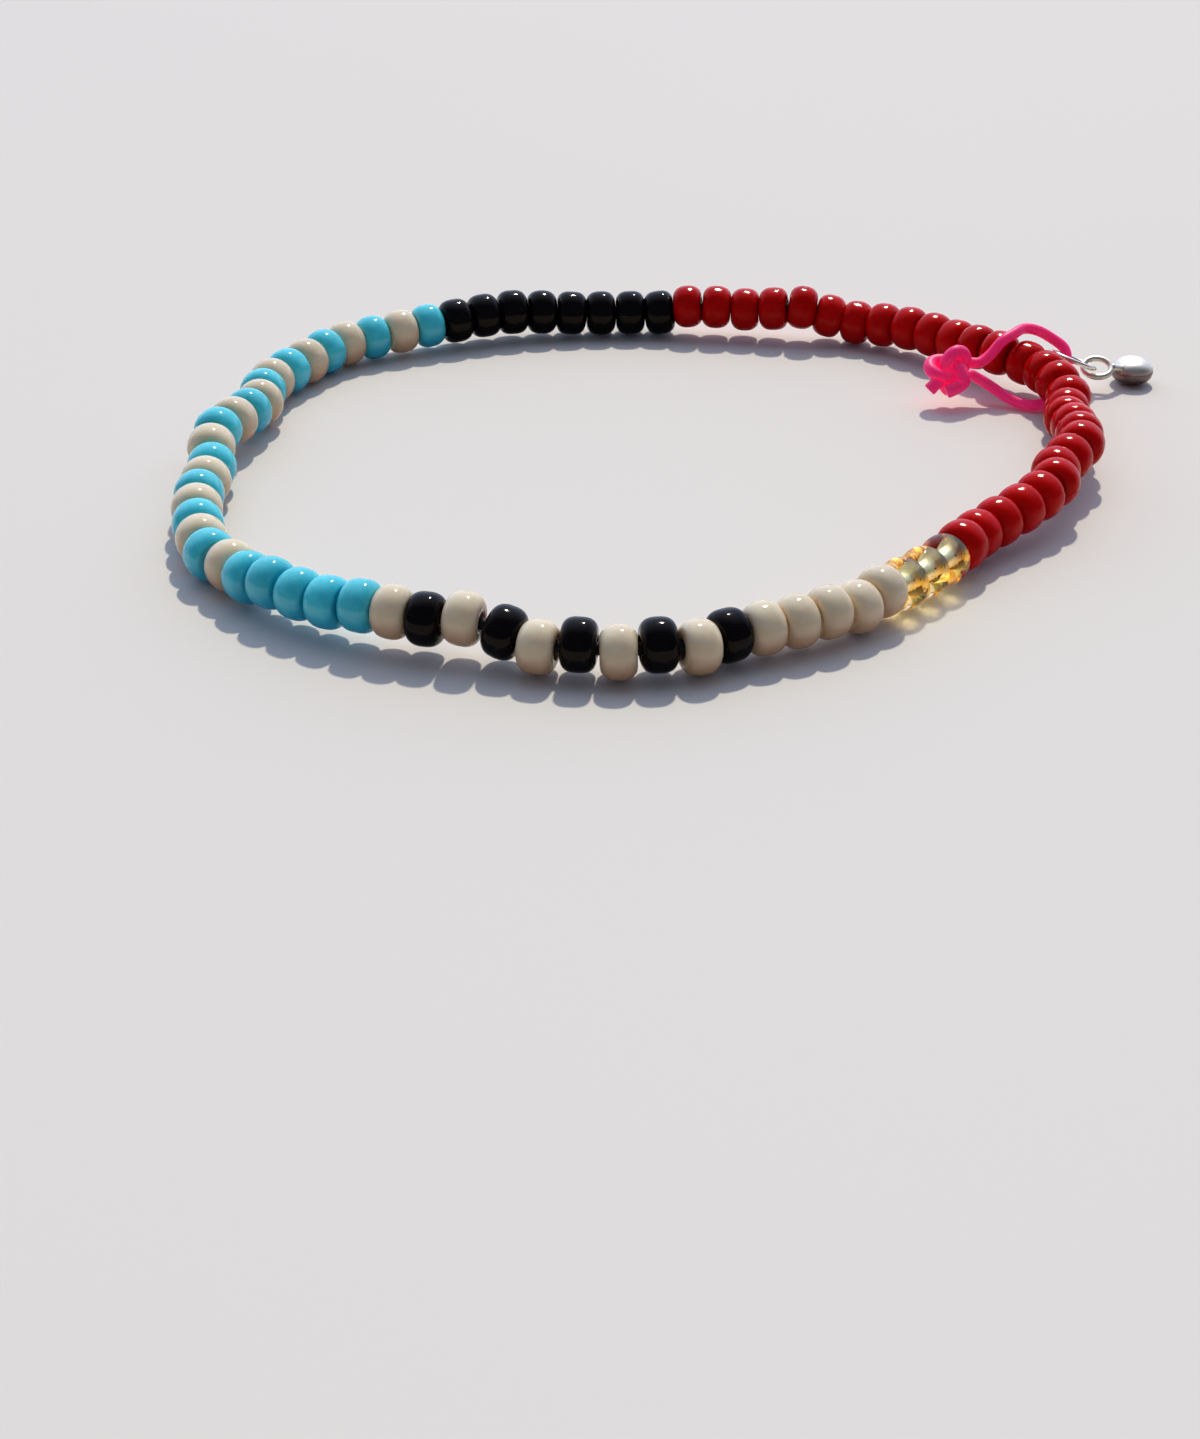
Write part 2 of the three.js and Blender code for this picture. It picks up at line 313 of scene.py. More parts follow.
class Line:
    """A closed centripetal Catmull-Rom curve, with places given as shares of its length."""

    def __init__(self, points, samples):
        self.points = [Vector(p) for p in points]
        self.samples = samples
        self.reached = [0.0]
        before = self.at(0)
        for i in range(1, samples + 1):
            here = self.at(i / samples)
            self.reached.append(self.reached[-1] + (here - before).length)
            before = here
        self.length = self.reached[-1]

    def at(self, share):
        """The point at that share of the way through the list of points."""
        count = len(self.points)
        place = (share % 1) * count
        first = int(place)
        t = place - first
        p0, p1, p2, p3 = (self.points[(first + k) % count] for k in (-1, 0, 1, 2))
        d0, d1, d2 = (math.sqrt((b - a).length) for a, b in ((p0, p1), (p1, p2), (p2, p3)))
        start = ((p1 - p0) / d0 - (p2 - p0) / (d0 + d1) + (p2 - p1) / d1) * d1
        end = ((p2 - p1) / d1 - (p3 - p1) / (d1 + d2) + (p3 - p2) / d2) * d1
        square = -3 * p1 + 3 * p2 - 2 * start - end
        cube = 2 * p1 - 2 * p2 + start + end
        return p1 + start * t + square * t**2 + cube * t**3

    def at_length(self, share):
        """The point at that share of the whole length."""
        wanted = (share % 1) * self.length
        low, high = 0, self.samples
        while high - low > 1:
            half = (low + high) // 2
            if self.reached[half] <= wanted:
                low = half
            else:
                high = half
        step = self.reached[high] - self.reached[low]
        return self.at((low + (wanted - self.reached[low]) / step) / self.samples)


def bead_middles():
    """Every bead's middle in millimetres, before the move to the frame's origin."""
    line = Line([(x, y, BEAD_RADIUS + rise) for x, y, rise in ROUTE], ROUTE_SAMPLES)
    places = []
    reached = 0.0
    before = 0.0
    for run in RUNS:
        for _ in range(run["beads"]):
            reached += (before + run["pitch"]) / 2 if places else 0
            places.append(reached)
            before = run["pitch"]
        reached += run["bare"]
    total = reached + (before + RUNS[0]["pitch"]) / 2
    start = FIRST_BEAD_AT / line.length
    middles = [line.at_length(place / total + start) for place in places]
    sizes = [run["size"] for run in RUNS for _ in range(run["beads"])]
    for i, (middle, size) in enumerate(zip(middles, sizes)):
        middle += Vector(LOOSE_BEADS.get(i + 1, (0, 0, 0)))
        middle.z = max(middle.z + VISUAL_RADIUS * (1 - size), VISUAL_RADIUS * size * FULLEST)
    return middles


def shift_to_frame(thread_points):
    """The move from the tables' origin to the frame's, from where the CAD thread lies."""
    low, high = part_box("elastic_thread")
    own_low = [min(p[k] for p in thread_points) for k in range(3)]
    own_high = [max(p[k] for p in thread_points) for k in range(3)]
    own_middle = Vector([(a + b) / 2 for a, b in zip(own_low, own_high)])
    shift = (low + high) / 2 - own_middle * MM
    shift.z = 0  # both stand on z = 0
    return shift


MIDDLES = bead_middles()
THREAD = Line(MIDDLES, len(MIDDLES) * THREAD_STEPS_PER_BEAD)
THREAD_POINTS = [THREAD.at(i / THREAD.samples) for i in range(THREAD.samples)]
SHIFT = shift_to_frame(THREAD_POINTS)


def placed(point):
    """A point of the tables, in metres in the frame."""
    return Vector(point) * MM + SHIFT


# ---- Materials ---------------------------------------------------------------------------------
def new_material(name):
    material = bpy.data.materials.new(name)
    material.use_nodes = True
    nodes = material.node_tree.nodes
    coordinates = nodes.new("ShaderNodeTexCoord").outputs["Object"]
    return material, nodes, material.node_tree.links, nodes["Principled BSDF"], coordinates


def ramp(nodes, stops):
    node = nodes.new("ShaderNodeValToRGB")
    elements = node.color_ramp.elements
    while len(elements) < len(stops):
        elements.new(0.5)
    for element, (place, colour) in zip(elements, stops):
        element.position = place
        element.color = (*colour, 1)
    return node


def maths(nodes, links, kind, a, b=None):
    node = nodes.new("ShaderNodeMath")
    node.operation = kind
    for socket, value in zip(node.inputs, (a, b)):
        if value is None:
            continue
        if isinstance(value, (int, float)):
            socket.default_value = value
        else:
            links.new(value, socket)
    return node.outputs[0]


def mixed(nodes, links, share, a, b):
    node = nodes.new("ShaderNodeMix")
    node.data_type = "RGBA"
    for socket, value in ((node.inputs[0], share), (node.inputs[6], a), (node.inputs[7], b)):
        if isinstance(value, (int, float)):
            socket.default_value = value
        elif isinstance(value, tuple):
            socket.default_value = (*value, 1)
        else:
            links.new(value, socket)
    return node.outputs[2]


def noise(nodes, links, vector, scale, detail, roughness):
    node = nodes.new("ShaderNodeTexNoise")
    node.inputs["Scale"].default_value = scale
    node.inputs["Detail"].default_value = detail
    node.inputs["Roughness"].default_value = roughness
    links.new(vector, node.inputs["Vector"])
    return node.outputs["Fac"]


def bump(nodes, links, height, strength, distance, normal=None):
    node = nodes.new("ShaderNodeBump")
    node.inputs["Strength"].default_value = strength
    node.inputs["Distance"].default_value = distance
    links.new(height, node.inputs["Height"])
    if normal is not None:
        links.new(normal, node.inputs["Normal"])
    return node.outputs["Normal"]


# body: the glass's colour; pale: its lighter streaks; face: a deeper colour painted round the hole, where the
# glass is thin, as painted translucency that stands in for light through it; foot: the darker colour painted
# below as shade, for cream also warmer, standing in for light that has gone through the glass; foot_at: the
# height, in millimetres over the bead's middle, from which the foot is all that colour; scatter and reach:
# how much light goes in and how far each of its colours gets; shine: how much light the surface reflects;
# rough: how rough it is at least and at most; gloss: the reflection's tint.
GLASSES = {
    "blue": {
        "slot": "blue_glass",
        "body": (0.07, 0.66, 0.77),
        "pale": (0.1, 0.74, 0.83),
        "face": (0.03, 0.46, 0.6),
        "foot": (0.012, 0.37, 0.58),
        "foot_at": -1.5,
        "scatter": 1.0,
        "reach": (0.4, 1.0, 1.1),
        "shine": 0.5,
        "rough": (0.07, 0.14),
        "gloss": (1, 1, 1, 1),
    },
    "cream": {
        "slot": "cream_glass",
        "body": (0.86, 0.712, 0.485),
        "pale": (0.89, 0.77, 0.56),
        "face": (0.84, 0.62, 0.38),
        "foot": (0.57, 0.36, 0.225),
        "foot_at": -0.9,
        "scatter": 1.0,
        "reach": (0.95, 0.9, 0.8),
        "shine": 0.4,
        "rough": (0.07, 0.14),
        "gloss": (1, 1, 1, 1),
    },
    "red": {
        "slot": "red_glass",
        "body": (0.54, 0.002, 0.002),
        "pale": (0.64, 0.003, 0.003),
        "face": (0.34, 0.001, 0.002),
        "foot": (0.4, 0.001, 0.002),
        "foot_at": -1.5,
        "scatter": 1.0,
        "reach": (1.2, 0.1, 0.08),
        "shine": 0.1,
        "rough": (0.08, 0.14),
        "gloss": (1, 0.8, 0.66, 1),
    },
    "black": {
        "slot": "black_glass",
        "body": (0.002, 0.002, 0.003),
        "pale": (0.004, 0.004, 0.006),
        "face": (0.003, 0.003, 0.003),
        "foot": (0.001, 0.001, 0.002),
        "foot_at": -1.5,
        "scatter": 0.0,
        "reach": (1.0, 1.0, 1.0),
        "shine": 0.12,
        "rough": (0.06, 0.12),
        "gloss": (1, 0.82, 0.6, 1),
    },
}
BEAD_BRIGHTNESS = (0.93, 1.05)  # of the darkest and the lightest bead of a glass
FOOT_FROM = 0.9  # the height over the bead's middle under which the foot's painted shade begins
FACE_EDGE = (0.93, 1.04)  # where the end face's painted colour begins and is full, from the bead's middle
SCATTER_SCALE = 0.4 * MM
GLASS_IOR = 1.52
AMBER_DEPTH_COLOUR = (0.98, 0.86, 0.3, 1)
AMBER_DENSITY = 430
# The painted glow: emission standing in for sunlight gathered in an amber bead's foot, with its strength,
# place and streaked colours.
AMBER_GLOW = 1.15
# Where the painted glow of gathered light shows, on a sum of the place outwards and the depth below the
# middle.
AMBER_FOOT_OUTWARD = 0.85
AMBER_FOOT_EDGE = (0.4, 1.2)
AMBER_PAINTED_CAUSTICS = [
    (0.42, (0.08, 0.02, 0.001)),
    (0.48, (0.4, 0.14, 0.005)),
    (0.54, (0.95, 0.47, 0.03)),
    (0.61, (1.0, 0.85, 0.3)),
]
AMBER_SPOT_AXIS = (0.03, -0.76, 0.65)
AMBER_SPOT_EDGE = (0.82, 0.92)
LINING_WEAR_AND_SHADE = 0.2  # how much more often the lining shows dark worn-through specks below than above: painted shade on top of the wear
UNDERSIDE_SHADE_RAGGED = 0.35  # how far the edge of the painted underside shade wanders
UNDERSIDE_SHADE_FADE = 0.45  # the height over which the painted underside shade sets in
# Painted shade: the charm's underside is darkened to brown below this height.
CHARM_SHADE_TOP = CHARM_MIDDLE[2] + 0.3
RING_SHADE_TOP = -1  # under the surface, so the ring has no painted underside shade


def smooth_share(nodes, links, value, start, end):
    """0 up to start and 1 from end on, with a smooth way between; start may be the greater."""
    node = nodes.new("ShaderNodeMapRange")
    node.interpolation_type = "SMOOTHSTEP"
    node.inputs["From Min"].default_value = start
    node.inputs["From Max"].default_value = end
    links.new(value, node.inputs["Value"])
    return node.outputs["Result"]


def spread(nodes, links, share, low, high):
    """From low to high, as share goes from 0 to 1."""
    node = nodes.new("ShaderNodeMapRange")
    node.inputs["To Min"].default_value = low
    node.inputs["To Max"].default_value = high
    links.new(share, node.inputs["Value"])
    return node.outputs["Result"]


def split_axes(nodes, links, coordinates):
    """The coordinates' X, Y and Z. A bead's own X is outwards, its Y up and its Z back along the string."""
    split = nodes.new("ShaderNodeSeparateXYZ")
    links.new(coordinates, split.inputs[0])
    return split.outputs


def opaque_glass(name, look):
    material, nodes, links, shader, coordinates = new_material(name)
    own = nodes.new("ShaderNodeObjectInfo").outputs["Random"]
    streaks = noise(nodes, links, coordinates, scale=900, detail=3, roughness=0.55)
    pale_share = smooth_share(nodes, links, streaks, 0.35, 0.65)
    body = mixed(nodes, links, pale_share, look["body"], look["pale"])
    tone = nodes.new("ShaderNodeHueSaturation")
    links.new(body, tone.inputs["Color"])
    links.new(spread(nodes, links, own, *BEAD_BRIGHTNESS), tone.inputs["Value"])
    axes = split_axes(nodes, links, coordinates)
    # Painted shade: towards the bottom of the bead the colour turns to the darker foot colour.
    low = smooth_share(nodes, links, axes["Y"], FOOT_FROM * MM, look["foot_at"] * MM)
    shaded_below = mixed(nodes, links, low, tone.outputs["Color"], look["foot"])
    # Painted translucency: the end faces round the hole take a deeper colour that stands in for light through
    # the thin glass.
    along = maths(nodes, links, "ABSOLUTE", axes["Z"])
    ends = smooth_share(nodes, links, along, *(edge * MM for edge in FACE_EDGE))
    coloured = mixed(nodes, links, ends, shaded_below, look["face"])
    links.new(coloured, shader.inputs["Base Color"])
    shader.inputs["IOR"].default_value = GLASS_IOR
    smears = noise(nodes, links, coordinates, scale=1400, detail=4, roughness=0.6)
    links.new(spread(nodes, links, smears, *look["rough"]), shader.inputs["Roughness"])
    shader.inputs["Subsurface Weight"].default_value = look["scatter"]
    shader.inputs["Subsurface Radius"].default_value = look["reach"]
    shader.inputs["Subsurface Scale"].default_value = SCATTER_SCALE
    shader.inputs["Specular IOR Level"].default_value = look["shine"]
    shader.inputs["Specular Tint"].default_value = look["gloss"]
    waves = noise(nodes, links, coordinates, scale=700, detail=1, roughness=0.4)
    pits = noise(nodes, links, coordinates, scale=9000, detail=2, roughness=0.5)
    soft = bump(nodes, links, waves, strength=0.3, distance=0.02 * MM)
    pitted = bump(nodes, links, pits, strength=0.06, distance=0.002 * MM, normal=soft)
    links.new(pitted, shader.inputs["Normal"])
    return material


def amber_glass():
    """Clear glass, nearly colourless over its silver lining, with a painted amber glow in its foot that
    stands in for the light it gathers there.
    """
    material, nodes, links, shader, coordinates = new_material("amber_glass_clear")
    shader.inputs["Base Color"].default_value = (1.0, 0.99, 0.96, 1)
    shader.inputs["Transmission Weight"].default_value = 1.0
    shader.inputs["IOR"].default_value = GLASS_IOR
    shader.inputs["Roughness"].default_value = 0.0
    shader.inputs["Specular Tint"].default_value = (1.0, 0.8, 0.5, 1)
    depth = nodes.new("ShaderNodeVolumeAbsorption")
    depth.inputs["Color"].default_value = AMBER_DEPTH_COLOUR
    depth.inputs["Density"].default_value = AMBER_DENSITY
    waves = noise(nodes, links, coordinates, scale=700, detail=1, roughness=0.4)
    links.new(bump(nodes, links, waves, strength=0.3, distance=0.02 * MM), shader.inputs["Normal"])
    # Painted light: the inside of the bottom wall glows with emission that stands in for the sun the bead has
    # gathered.
    inside = nodes.new("ShaderNodeNewGeometry").outputs["Backfacing"]
    axes = split_axes(nodes, links, coordinates)
    outward = maths(nodes, links, "MULTIPLY", axes["X"], AMBER_FOOT_OUTWARD)
    below = maths(nodes, links, "SUBTRACT", outward, axes["Y"])
    foot = smooth_share(nodes, links, below, *(edge * MM for edge in AMBER_FOOT_EDGE))
    caustic_streaks = noise(nodes, links, coordinates, scale=1500, detail=3, roughness=0.6)
    glow_colours = ramp(nodes, AMBER_PAINTED_CAUSTICS)
    links.new(caustic_streaks, glow_colours.inputs["Fac"])
    links.new(glow_colours.outputs["Color"], shader.inputs["Emission Color"])
    gathered = maths(nodes, links, "MULTIPLY", inside, foot)
    links.new(maths(nodes, links, "MULTIPLY", gathered, AMBER_GLOW), shader.inputs["Emission Strength"])
    # In its shadow a bead lets one round spot of sun through, in line with its middle.
    towards = nodes.new("ShaderNodeVectorMath")
    towards.operation = "NORMALIZE"
    links.new(coordinates, towards.inputs[0])
    in_line = nodes.new("ShaderNodeVectorMath")
    in_line.operation = "DOT_PRODUCT"
    in_line.inputs[1].default_value = AMBER_SPOT_AXIS
    links.new(towards.outputs["Vector"], in_line.inputs[0])
    spot = smooth_share(nodes, links, in_line.outputs["Value"], *AMBER_SPOT_EDGE)
    leaving = mixed(nodes, links, spot, (0.16, 0.13, 0.12), (1.0, 0.88, 0.58))
    through = nodes.new("ShaderNodeBsdfTransparent")
    links.new(mixed(nodes, links, inside, leaving, (1.0, 1.0, 1.0)), through.inputs["Color"])
    shadow_or_seen = nodes.new("ShaderNodeMixShader")
    links.new(nodes.new("ShaderNodeLightPath").outputs["Is Shadow Ray"], shadow_or_seen.inputs["Fac"])
    links.new(shader.outputs["BSDF"], shadow_or_seen.inputs[1])
    links.new(through.outputs["BSDF"], shadow_or_seen.inputs[2])
    output = nodes["Material Output"]
    links.new(shadow_or_seen.outputs["Shader"], output.inputs["Surface"])
    links.new(depth.outputs["Volume"], output.inputs["Volume"])
    return material


def silver_lining():
    """Silver foil in a bead's hole: bright, wrinkled along the hole, with dark worn-through specks made more
    frequent below as painted shade.
    """
    material, nodes, links, shader, coordinates = new_material("hole_lining_silver")
    stretched = nodes.new("ShaderNodeMapping")
    stretched.inputs["Scale"].default_value = (1, 1, 0.4)
    links.new(coordinates, stretched.inputs["Vector"])
    wrinkles = noise(nodes, links, stretched.outputs["Vector"], scale=2600, detail=4, roughness=0.65)
    specks = noise(nodes, links, coordinates, scale=2900, detail=4, roughness=0.65)
    # Painted shade: the dark specks grow more frequent towards the bottom of the lining.
    up = split_axes(nodes, links, coordinates)["Y"]
    shade_bias = maths(nodes, links, "MULTIPLY", up, LINING_WEAR_AND_SHADE / HOLE_RADIUS / MM)
    worn_and_shaded = maths(nodes, links, "ADD", specks, shade_bias)
    colours = ramp(nodes, [(0.45, (0.04, 0.04, 0.03)), (0.47, (0.74, 0.79, 0.78)), (0.7, (0.87, 0.93, 0.95))])
    links.new(worn_and_shaded, colours.inputs["Fac"])
    links.new(colours.outputs["Color"], shader.inputs["Base Color"])
    shader.inputs["Metallic"].default_value = 1.0
    shader.inputs["Roughness"].default_value = 0.36
    links.new(bump(nodes, links, wrinkles, strength=0.7, distance=0.07 * MM), shader.inputs["Normal"])
    return material


def elastic(name, colour, dark, roughness, scatter, glow=0.0):
    """Stretch cord: rubber with a faint grain; glow is painted light, an emission that stands in for a colour
    fluorescing in the sun.
    """
    material, nodes, links, shader, coordinates = new_material(name)
    grain = noise(nodes, links, coordinates, scale=5200, detail=3, roughness=0.6)
    coloured = mixed(nodes, links, grain, dark, colour)
    links.new(coloured, shader.inputs["Base Color"])
    shader.inputs["Roughness"].default_value = roughness
    shader.inputs["Specular IOR Level"].default_value = 0.3
    shader.inputs["Subsurface Weight"].default_value = scatter
    shader.inputs["Subsurface Radius"].default_value = (1.0, 0.3, 0.45)
    shader.inputs["Subsurface Scale"].default_value = SCATTER_SCALE
    # Painted light: the emission glows the same in shade as in the sun.
    if glow:
        links.new(coloured, shader.inputs["Emission Color"])
        shader.inputs["Emission Strength"].default_value = glow
    links.new(bump(nodes, links, grain, strength=0.25, distance=0.02 * MM), shader.inputs["Normal"])
    return material


def silver(name, roughness, shade_top):
    """Silver with clouded patches. Below the given top, a height in metres, it is painted dark brown: painted
    shade that stands in for the shaded floor and red beads its underside reflects.
    """
    material, nodes, links, shader, coordinates = new_material(name)
    patches = noise(nodes, links, coordinates, scale=1300, detail=4, roughness=0.6)
    colours = ramp(nodes, [(0.3, (0.74, 0.66, 0.54)), (0.7, (0.95, 0.86, 0.71))])
    links.new(patches, colours.inputs["Fac"])
    # Painted shade: below the top height, with a ragged edge, the colour turns dark brown.
    ragged = maths(nodes, links, "MULTIPLY", patches, UNDERSIDE_SHADE_RAGGED * MM)
    height = maths(nodes, links, "SUBTRACT", split_axes(nodes, links, coordinates)["Z"], ragged)
    low = smooth_share(nodes, links, height, shade_top, shade_top - UNDERSIDE_SHADE_FADE * MM)
    coloured = mixed(nodes, links, low, colours.outputs["Color"], (0.2, 0.14, 0.13))
    links.new(coloured, shader.inputs["Base Color"])
    shader.inputs["Metallic"].default_value = 1.0
    rough = spread(nodes, links, patches, roughness * 0.7, roughness * 1.3)
    links.new(rough, shader.inputs["Roughness"])
    links.new(bump(nodes, links, patches, strength=0.2, distance=0.02 * MM), shader.inputs["Normal"])
    return material


def floor_material():
    material, nodes, links, shader, coordinates = new_material("floor_paper")
    drift = noise(nodes, links, coordinates, scale=9, detail=1, roughness=0.4)
    colours = ramp(nodes, [(0.3, (0.79, 0.73, 0.655)), (0.7, (0.79, 0.742, 0.67))])
    links.new(drift, colours.inputs["Fac"])
    links.new(colours.outputs["Color"], shader.inputs["Base Color"])
    shader.inputs["Roughness"].default_value = 0.75
    shader.inputs["Specular IOR Level"].default_value = 0.25
    return material


# ---- Meshes ------------------------------------------------------------------------------------
def mesh_object(name, vertices, faces, material, smooth=True):
    mesh = bpy.data.meshes.new(name)
    mesh.from_pydata([tuple(v) for v in vertices], [], faces)
    mesh.polygons.foreach_set("use_smooth", [smooth] * len(faces))
    mesh.materials.append(material)
    mesh.update()
    thing = bpy.data.objects.new(name, mesh)
    bpy.context.scene.collection.objects.link(thing)
    return thing


def quarter(centre, along, out, start, steps):
    """Points of a quarter of an ellipse in the bead's half section, from the angle start."""
    points = []
    for i in range(steps + 1):
        angle = start + (math.pi / 2) * i / steps
        points.append((centre[0] + along * math.cos(angle), centre[1] + out * math.sin(angle)))
    return points


def bead_profile(radius, length, squareness):
    """The closed half section of a bead as (along, out), round from the hole's wall and back to it."""
    half = length / 2
    lip_middle = (half - LIP, HOLE_RADIUS + LIP)
    right_lip = quarter(lip_middle, LIP, LIP, -math.pi / 2, LIP_STEPS)
    left_lip = [(-along, out) for along, out in reversed(right_lip)]
    side = []
    for i in range(SIDE_STEPS + 1):
        turn = math.pi * i / SIDE_STEPS
        along = half * abs(math.cos(turn)) ** (2 / squareness)
        out = FACE_RADIUS + (radius - FACE_RADIUS) * math.sin(turn)
        side.append((math.copysign(along, math.cos(turn)), out))
    return right_lip + side + left_lip


def revolved(profile, sides, shape):
    """Vertices and faces of a closed section turned about Z; shape(along, out, angle) gives the radius."""
    vertices = []
    for i in range(sides):
        angle = 2 * math.pi * i / sides
        for along, out in profile:
            reach = shape(along, out, angle)
            vertices.append((reach * math.cos(angle) * MM, reach * math.sin(angle) * MM, along * MM))
    count = len(profile)
    faces = []
    for i in range(sides):
        for j in range(count):
            a = i * count + j
            b = i * count + (j + 1) % count
            c = ((i + 1) % sides) * count + (j + 1) % count
            d = ((i + 1) % sides) * count + j
            faces.append((a, b, c, d))
    return vertices, faces


def bead_frame(index):
    """The bead's place: its axis (Z) from its neighbour after to its neighbour before."""
    count = len(MIDDLES)
    before = MIDDLES[(index - 1) % count]
    after = MIDDLES[(index + 1) % count]
    axis = (after - before).normalized()
    side = axis.cross(Vector((0, 0, 1))).normalized()
    up = side.cross(axis)
    place = Matrix((side, up, -axis)).transposed().to_4x4()
    place.translation = placed(MIDDLES[index])
    return place


def make_bead(name, index, run, glass, material, dice):
    """One bead: a little out of round, its length, width and fullness a little its own."""
    length = run["pitch"] - BEAD_GAP - dice.roll(0, SHORTER_AT_MOST)
    length += CREAM_LONGER_BY if glass == "cream" else 0
    radius = VISUAL_RADIUS * run["size"] * dice.roll(*WIDTHS)
    squareness = dice.roll(*SQUARENESS[glass])
    oval, oval_turn = dice.roll(0, OVAL_AT_MOST), dice.roll(0, math.pi)
    lobes, lobes_turn = dice.roll(0, LOBES_AT_MOST), dice.roll(0, math.pi)
    taper = dice.roll(-TAPER_AT_MOST, TAPER_AT_MOST)

    def shape(along, out, angle):
        wave = oval * math.cos(2 * (angle - oval_turn)) + lobes * math.cos(3 * (angle - lobes_turn))
        share = (out - HOLE_RADIUS) / (radius - HOLE_RADIUS)
        return out * (1 + share * (wave + taper * along / length))

    vertices, faces = revolved(bead_profile(radius, length, squareness), BEAD_SIDES, shape)
    bead = mesh_object(name, vertices, faces, material)
    lean = Matrix.Rotation(math.radians(dice.roll(-TILT, TILT)), 4, "X")
    swing = Matrix.Rotation(math.radians(dice.roll(-TILT, TILT)), 4, "Y")
    bead.matrix_world = bead_frame(index) @ lean @ swing
    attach(bead, ROOT)
    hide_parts(run["node"])
    return bead


def make_lining(name, index, run, material):
    """The silver lining of a clear bead's hole."""
    half = run["pitch"] / 2 - BEAD_GAP - LINING_INSET
    outer, inner = HOLE_RADIUS + LINING_DEPTH, HOLE_RADIUS - LINING_THICKNESS
    profile = [(-half, inner), (half, inner), (half, outer), (-half, outer)]
    vertices, faces = revolved(profile, BEAD_SIDES, lambda along, out, angle: out)
    lining = mesh_object(name, vertices, faces, material)
    lining.matrix_world = bead_frame(index)
    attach(lining, ROOT)
    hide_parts(run["node"])
    lining.visible_shadow = False


def tube(name, points, radius, sides, material, closed):
    """A round tube along points in metres, with rounded-off ends where it is open."""
    count = len(points)
    vertices = []
    previous = None
    for i, point in enumerate(points):
        after = points[(i + 1) % count] if closed or i < count - 1 else points[i]
        before = points[i - 1] if closed or i > 0 else points[i]
        axis = (after - before).normalized()
        if previous is None:
            previous = axis.orthogonal().normalized()
        side = (previous - axis * previous.dot(axis)).normalized()
        previous = side
        up = axis.cross(side)
        reach = radius[i] if isinstance(radius, list) else radius
        for k in range(sides):
            angle = 2 * math.pi * k / sides
            vertices.append(point + (side * math.cos(angle) + up * math.sin(angle)) * reach)
    faces = []
    for i in range(count if closed else count - 1):
        for k in range(sides):
            a = i * sides + k
            b = i * sides + (k + 1) % sides
            c = ((i + 1) % count) * sides + (k + 1) % sides
            d = ((i + 1) % count) * sides + k
            faces.append((a, b, c, d))
    if not closed:
        faces.append(tuple(range(sides - 1, -1, -1)))
        faces.append(tuple((count - 1) * sides + k for k in range(sides)))
    return mesh_object(name, vertices, faces, material)


GLASS_SLOTS = {name: look["slot"] for name, look in GLASSES.items()}
GLASS_SLOTS["amber"] = "amber_glass"


def make_beads():
    materials = {name: opaque_glass("glass_" + name, look) for name, look in GLASSES.items()}
    materials["amber"] = amber_glass()
    lining = silver_lining()
    dice = Dice(SEED)
    red_beads = []
    index = 0
    for run in RUNS:
        for number in range(run["beads"]):
            glass = run["glass"][number % len(run["glass"])]
            name = f"bead_{index + 1:02d}_{glass}"
            bead = make_bead(name, index, run, glass, materials[glass], dice)
            if glass == "amber":
                make_lining(f"lining_{index + 1:02d}", index, run, lining)
            if glass == "red":
                red_beads.append(bead)
            index += 1
    return red_beads


def make_thread():
    material = elastic("elastic_black", (0.02, 0.02, 0.024), (0.008, 0.008, 0.01), 0.6, 0.0)
    points = [placed(p) for p in THREAD_POINTS]
    thread = tube("thread", points, THREAD_RADIUS * MM, THREAD_SIDES, material, closed=True)
    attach(thread, ROOT)
    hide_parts("elastic_thread")


def smooth_way(points, steps):
    """An open Catmull-Rom line through the points, with so many steps from each to the next."""
    ends = [points[0] * 2 - points[1], *points, points[-1] * 2 - points[-2]]
    way = []
    for i in range(1, len(ends) - 2):
        p0, p1, p2, p3 = ends[i - 1 : i + 3]
        for k in range(steps):
            t = k / steps
            way.append(
                p1
                + (p2 - p0) * (t / 2)
                + (p0 * 2 - p1 * 5 + p2 * 4 - p3) * (t * t / 2)
                + (p1 * 3 - p0 - p2 * 3 + p3) * (t**3 / 2)
            )
    way.append(points[-1])
    return way


def knot_point(right, up, front):
    """A point of the knot in millimetres, from its place seen from the front of the bracelet."""
    pitch = math.radians(CAMERA_PITCH)
    over = Vector((0, math.sin(pitch), math.cos(pitch)))
    towards = Vector((0, -math.cos(pitch), math.sin(pitch)))
    return Vector(KNOT_MIDDLE) + Vector((right, 0, 0)) + over * up + towards * front


def knot_turns():
    """The wound strand of the overhand knot: a trefoil, open at one of its outer turns."""
    points = []
    turn = math.radians(KNOT_TURN)
    start, stop = math.pi / 3 + KNOT_OPENING, math.pi * 7 / 3 - KNOT_OPENING
    for i in range(KNOT_POINTS + 1):
        t = start + (stop - start) * i / KNOT_POINTS
        x = KNOT_SPREAD * (math.sin(t) + 2 * math.sin(2 * t))
        y = -KNOT_SPREAD * (math.cos(t) - 2 * math.cos(2 * t))
        right = x * math.cos(turn) - y * math.sin(turn)
        up = x * math.sin(turn) + y * math.cos(turn)
        points.append(knot_point(right, up, KNOT_DEPTH * math.sin(3 * t)))
    return points


